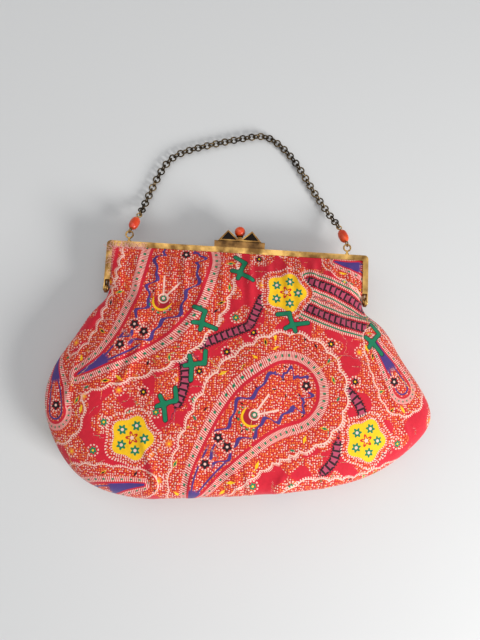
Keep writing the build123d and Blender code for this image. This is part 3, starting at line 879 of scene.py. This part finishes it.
def cloth_piece(name, side, rows, columns, material):
    """One side of the pouch as a fine grid on the part's surface, with its gathers and creases."""
    down, across = np.meshgrid(np.linspace(0, 1, rows), np.linspace(-1, 1, columns), indexing="ij")
    down = np.sin(down * np.pi / 2) * CROWDED_ROWS + down * (1 - CROWDED_ROWS)
    across = np.sin(across * np.pi / 2) * CROWDED_COLUMNS + across * (1 - CROWDED_COLUMNS)
    x, y, z = pouch_surface(side, down, across)
    flat_x, flat_y = flat_cloth(x, y, z, down, across)
    lift = gathers(x, y, down, across) if side > 0 else 0.35 * gathers(x, y, down, across)
    if side > 0:
        for start, end, depth, width in CREASES:
            lift = lift + crease(x, y, start, end, depth, width) * (1 - smooth(0.85, 1, np.abs(across)))
    else:
        lift = -np.abs(lift) * smooth(4, 12, z)
    lift = np.clip(lift, -DEEPEST * (1 - smooth(0.5, 0.75, down)), HIGHEST)
    normal = outward(x, y, z, side)
    corner = smooth(0.45, 0.8, down) * smooth(0.55, 0.85, np.abs(across))
    swell = HEM_SWELL * np.maximum(corner, smooth(0.75, 0.92, down))
    x = x + normal[..., 0] * swell
    y = y + normal[..., 1] * swell
    z = z + lift + (np.maximum(0, normal[..., 2]) * swell if side > 0 else 0)
    mesh_data = bmesh.new()
    bmesh.ops.create_grid(mesh_data, x_segments=columns - 1, y_segments=rows - 1, size=1)
    shift = 0 if side > 0 else BACK_PRINT_SHIFT
    fields = print_fields((flat_x + shift) * side, flat_y - FRAME_TOP)
    fields["flat"] = (flat_x, flat_y, np.zeros_like(flat_x))
    layers = {key: mesh_data.verts.layers.float_vector.new(key) for key in fields}
    for vert in mesh_data.verts:
        column = round((vert.co.x + 1) / 2 * (columns - 1))
        row = round((1 - vert.co.y) / 2 * (rows - 1))
        vert.co = Vector((x[row, column], y[row, column], z[row, column])) * MM
        for key, layer in layers.items():
            field = fields[key]
            vert[layer] = (field[0][row, column], field[1][row, column], field[2][row, column])
    obj = finish_mesh(name, mesh_data, material)
    thick = obj.modifiers.new("Cloth thickness", "SOLIDIFY")
    thick.thickness = CLOTH_THICKNESS
    thick.offset = -1
    return obj


def ring(mesh_data, radius, wire, matrix, major=20, minor=8):
    """A wire ring spun from a circle of its section."""
    section = bmesh.ops.create_circle(mesh_data, segments=minor, radius=wire)["verts"]
    place = matrix @ Matrix.Translation((radius, 0, 0)) @ Matrix.Rotation(math.pi / 2, 4, "X")
    bmesh.ops.transform(mesh_data, matrix=place, verts=section)
    edges = list({edge for vert in section for edge in vert.link_edges})
    axis = (matrix.to_3x3() @ Vector((0, 0, 1))).normalized()
    bmesh.ops.spin(mesh_data, geom=section + edges, angle=2 * math.pi, steps=major,
                   axis=axis, cent=matrix.translation, use_merge=True)


def island_frames(node):
    """Centre and normal of each separate ring in a CAD node."""
    mesh_data = bmesh.new()
    mesh_data.from_mesh(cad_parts[node].data)
    bmesh.ops.remove_doubles(mesh_data, verts=mesh_data.verts, dist=1e-6)
    left = set(mesh_data.verts)
    rings = []
    while left:
        queue = [left.pop()]
        island = list(queue)
        while queue:
            vert = queue.pop()
            for edge in vert.link_edges:
                other = edge.other_vert(vert)
                if other in left:
                    left.discard(other)
                    queue.append(other)
                    island.append(other)
        points = np.array([tuple(v.co) for v in island])
        centre = points.mean(0)
        _, _, axes = np.linalg.svd(points - centre)
        rings.append((Vector(centre), Vector(axes[2])))
    mesh_data.free()
    return rings


def turned(centre, normal):
    """A placement at a centre whose Z axis is a normal."""
    rotation = normal.to_track_quat("Z", "Y").to_matrix().to_4x4()
    return Matrix.Translation(centre) @ rotation


def paint(node, material, bevel=0):
    """Give a CAD node one material and, where asked, eased edges."""
    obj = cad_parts[node]
    obj.data.materials.clear()
    obj.data.materials.append(bpy.data.materials[material])
    if bevel:
        edge = obj.modifiers.new("Eased edges", "BEVEL")
        edge.width = bevel
        edge.segments = 2
        edge.limit_method = "ANGLE"
        edge.angle_limit = math.radians(40)


def color_property(name, description, default):
    return bpy.props.FloatVectorProperty(name=name, description=description, default=default, size=4,
                                         subtype="COLOR", min=0, max=1)


class PurseSettings(bpy.types.PropertyGroup):
    """Sizes and colours of the dressed purse"""
    print_red: color_property("Print red", "Plain ground of the printed cotton", RED)
    lining: color_property("Lining", "Colour of the lining", LINING_RED)
    brass: color_property("Brass", "Brass of the frame where it is worn bright", BRASS)
    coral: color_property("Coral", "The ball and the beads", CORAL)
    rows: bpy.props.IntProperty(name="Cloth rows", description="Rows of the cloth grid",
                                default=170, min=40)
    columns: bpy.props.IntProperty(name="Cloth columns", description="Columns of the cloth grid",
                                   default=190, min=40)
    threads: bpy.props.IntProperty(name="Frayed threads", description="Loose threads at the corner",
                                   default=110, min=0)
    link_radius: bpy.props.FloatProperty(name="Link radius", description="To the middle of a link's wire",
                                         default=0.0026, unit="LENGTH")
    link_wire: bpy.props.FloatProperty(name="Link wire", description="Radius of a link's wire",
                                       default=0.0006, unit="LENGTH")


class PURSE_OT_materials(bpy.types.Operator):
    """Make every material of the purse"""
    bl_idname = "purse.materials"
    bl_label = "Materials"

    def execute(self, context):
        settings = context.scene.purse
        print_group(tuple(settings.print_red))
        weave_group()
        wear_group()
        print_material()
        new_material("Lining", Base_Color=settings.lining, Roughness=0.7)
        new_material("Frayed thread", Base_Color=THREAD_PINK, Roughness=0.9)
        clasp_material()
        coral_material(tuple(settings.coral))
        metal_material("Aged brass", tuple(settings.brass), OLD_BRASS, 0.30)
        for name, (color, dark, roughness) in METALS.items():
            metal_material(name, color, dark, roughness)
        return {"FINISHED"}


class PURSE_OT_pouch(bpy.types.Operator):
    """Lay the printed cloth over the pouch"""
    bl_idname = "purse.pouch"
    bl_label = "Pouch"

    def execute(self, context):
        settings = context.scene.purse
        material = bpy.data.materials["Printed cotton"]
        front = cloth_piece("front_cloth", 1, settings.rows, settings.columns, material)
        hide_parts("front_panel", "front_panel_top")
        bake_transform(front)
        back = cloth_piece("back_cloth", -1, settings.rows, settings.columns, material)
        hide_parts("back_panel")
        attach(back, "bag")
        for node in ("lining_front", "lining_front_top", "lining_back"):
            paint(node, "Lining")
        return {"FINISHED"}


class PURSE_OT_frame(bpy.types.Operator):
    """Finish the brass frame, its rivets and the clasp"""
    bl_idname = "purse.frame"
    bl_label = "Frame and clasp"

    def execute(self, context):
        for node in ("front_jaw", "back_jaw"):
            paint(node, "Aged brass", JAW_EDGE)
        for node in ("clasp_lever", "clasp_pin", "knob_cup", "clasp_spring",
                     "hinge_rivet_left", "hinge_rivet_right"):
            paint(node, "Aged brass")
        # The clasp plate's sunk fields carry painted shade, coloured black
        paint("clasp_plate_front", "Plate brass with painted shade", PLATE_EDGE)
        paint("clasp_back", "Dark brass", PLATE_EDGE)
        # The clasp's bar takes brass painted darker, as painted shade
        paint("clasp_bar_front", "Bar brass in painted shade", JAW_EDGE)
        return {"FINISHED"}


def fray(mesh_data, start, run, side, rise, radius):
    """One loose thread: a small ring extruded along a bowed line."""
    section = bmesh.ops.create_circle(mesh_data, segments=4, radius=radius)["verts"]
    heading = run.to_track_quat("Z", "Y").to_matrix().to_4x4()
    bmesh.ops.transform(mesh_data, matrix=Matrix.Translation(start) @ heading, verts=section)
    edges = list({edge for vert in section for edge in vert.link_edges})
    before = Vector((0, 0, 0))
    for step in range(1, THREAD_STEPS + 1):
        t = step / THREAD_STEPS
        place = run * t + side * math.sin(math.pi * t) + Vector((0, 0, rise * math.sin(2.4 * t)))
        made = bmesh.ops.extrude_edge_only(mesh_data, edges=edges)["geom"]
        moved = [part for part in made if isinstance(part, bmesh.types.BMVert)]
        edges = [part for part in made if isinstance(part, bmesh.types.BMEdge)
                 and all(vert in moved for vert in part.verts)]
        bmesh.ops.translate(mesh_data, vec=place - before, verts=moved)
        before = place


class PURSE_OT_threads(bpy.types.Operator):
    """Fray a few threads over the frame's upper left corner"""
    bl_idname = "purse.threads"
    bl_label = "Frayed threads"

    def execute(self, context):
        source = random.Random(11)
        mesh_data = bmesh.new()
        for number in range(context.scene.purse.threads):
            across, up, run_across, run_up, height = TOP_FRAY if number % 3 else ARM_FRAY
            start = Vector((source.uniform(*across), source.uniform(*up), height))
            run = Vector((source.uniform(*run_across), source.uniform(*run_up), 0))
            side = Vector((-run.y, run.x, 0)).normalized() * source.uniform(-1.6, 1.6)
            fray(mesh_data, start, run, side, source.uniform(0.5, 1.5), source.uniform(0.08, 0.15))
        bmesh.ops.scale(mesh_data, vec=(MM, MM, MM), verts=mesh_data.verts)
        threads = finish_mesh("frayed_threads", mesh_data, bpy.data.materials["Frayed thread"])
        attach(threads, "front_frame")
        return {"FINISHED"}


class PURSE_OT_beads(bpy.types.Operator):
    """Make the ball knob and the two beads, round and polished"""
    bl_idname = "purse.beads"
    bl_label = "Knob and beads"

    def execute(self, context):
        low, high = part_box("clasp_knob")
        centre = (Vector(low) + Vector(high)) / 2
        mesh_data = bmesh.new()
        bmesh.ops.create_uvsphere(mesh_data, u_segments=40, v_segments=24, radius=(high[0] - low[0]) / 2,
                                  matrix=Matrix.Translation(centre))
        knob = finish_mesh("ball_knob", mesh_data, bpy.data.materials["Coral"])
        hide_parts("clasp_knob")
        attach(knob, "lever")
        for node in ("bead_left", "bead_right"):
            paint(node, "Coral")
            shade_smooth(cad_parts[node].data)
        return {"FINISHED"}


class PURSE_OT_chain(bpy.types.Operator):
    """Spin a round link in place of each link of the chain"""
    bl_idname = "purse.chain"
    bl_label = "Chain"

    def execute(self, context):
        settings = context.scene.purse
        nodes = sorted(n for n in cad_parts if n.startswith("chain_"))
        mesh_data = bmesh.new()
        for node in nodes:
            for centre, normal in island_frames(node):
                ring(mesh_data, settings.link_radius, settings.link_wire, turned(centre, normal))
        chain = finish_mesh("chain_rings", mesh_data, bpy.data.materials["Chain metal"])
        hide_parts(*nodes)
        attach(chain, "chain")
        for node in ("handle_eye_left", "handle_eye_right", "bead_wire_left", "bead_wire_right"):
            paint(node, "Aged brass")
            shade_smooth(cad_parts[node].data)
        return {"FINISHED"}


def place_camera():
    """A camera above the purse, tipped, leaned and rolled as fitted to the frame's corners."""
    lens = bpy.data.cameras.new("Camera")
    lens.sensor_width = 36
    lens.lens = CAMERA_LENS
    lens.clip_start = 0.01
    camera = link(bpy.data.objects.new("Camera", lens))
    lean, tip, roll = (math.radians(angle) for angle in CAMERA_ANGLES)
    back = Vector((-math.tan(lean), -math.tan(tip), 1)).normalized()
    up_flat = (Vector((0, 1, 0)) - back * back.y).normalized()
    right_flat = up_flat.cross(back)
    right = math.cos(roll) * right_flat + math.sin(roll) * up_flat
    up = -math.sin(roll) * right_flat + math.cos(roll) * up_flat
    place = Vector(CAMERA_TARGET) * MM + back * CAMERA_DISTANCE
    rotation = Matrix((right, up, back)).transposed()
    camera.matrix_world = Matrix.Translation(place) @ rotation.to_4x4()
    return camera


class PURSE_OT_stage(bpy.types.Operator):
    """Add the floor, the lights and the camera"""
    bl_idname = "purse.stage"
    bl_label = "Stage"

    def execute(self, context):
        floor_data = bmesh.new()
        bmesh.ops.create_grid(floor_data, x_segments=1, y_segments=1, size=3)
        material, _, _ = new_material("Pale floor", Base_Color=FLOOR_GREY, Roughness=0.85)
        floor = finish_mesh("Floor", floor_data, material)
        floor.location.z = -0.0002
        for name, place, size, power in LAMPS:
            lamp = bpy.data.lights.new(name, "AREA")
            lamp.size = size
            lamp.energy = power
            obj = link(bpy.data.objects.new(name, lamp))
            obj.location = place
            aim = Vector((0, 0, 0.02)) - Vector(place)
            obj.rotation_euler = aim.to_track_quat("-Z", "Y").to_euler()
        world = bpy.data.worlds.new("Soft studio")
        world.use_nodes = True
        world.node_tree.nodes["Background"].inputs[0].default_value = SKY
        world.node_tree.nodes["Background"].inputs[1].default_value = 0.30
        context.scene.world = world
        context.scene.view_settings.view_transform = "Standard"
        camera = place_camera()
        context.scene.camera = camera
        return {"FINISHED"}


class PURSE_PT_panel(bpy.types.Panel):
    """Sizes, colours and steps of the purse"""
    bl_label = "Frame Purse"
    bl_idname = "PURSE_PT_panel"
    bl_space_type = "VIEW_3D"
    bl_region_type = "UI"
    bl_category = "Purse"

    def draw(self, context):
        settings = context.scene.purse
        for name in ("print_red", "lining", "brass", "coral", "rows", "columns", "threads",
                     "link_radius", "link_wire"):
            self.layout.prop(settings, name)
        for kind in STEPS:
            self.layout.operator(kind.bl_idname)


STEPS = (PURSE_OT_materials, PURSE_OT_pouch, PURSE_OT_frame, PURSE_OT_threads, PURSE_OT_beads,
         PURSE_OT_chain, PURSE_OT_stage)
CLASSES = (PurseSettings, *STEPS, PURSE_PT_panel)


def register():
    for kind in CLASSES:
        bpy.utils.register_class(kind)
    bpy.types.Scene.purse = bpy.props.PointerProperty(type=PurseSettings)


def unregister():
    del bpy.types.Scene.purse
    for kind in reversed(CLASSES):
        bpy.utils.unregister_class(kind)


def main():
    register()
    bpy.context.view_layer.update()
    bpy.ops.purse.materials()
    bpy.ops.purse.pouch()
    bpy.ops.purse.frame()
    bpy.ops.purse.threads()
    bpy.ops.purse.beads()
    bpy.ops.purse.chain()
    bpy.ops.purse.stage()


if __name__ == "__main__":
    main()
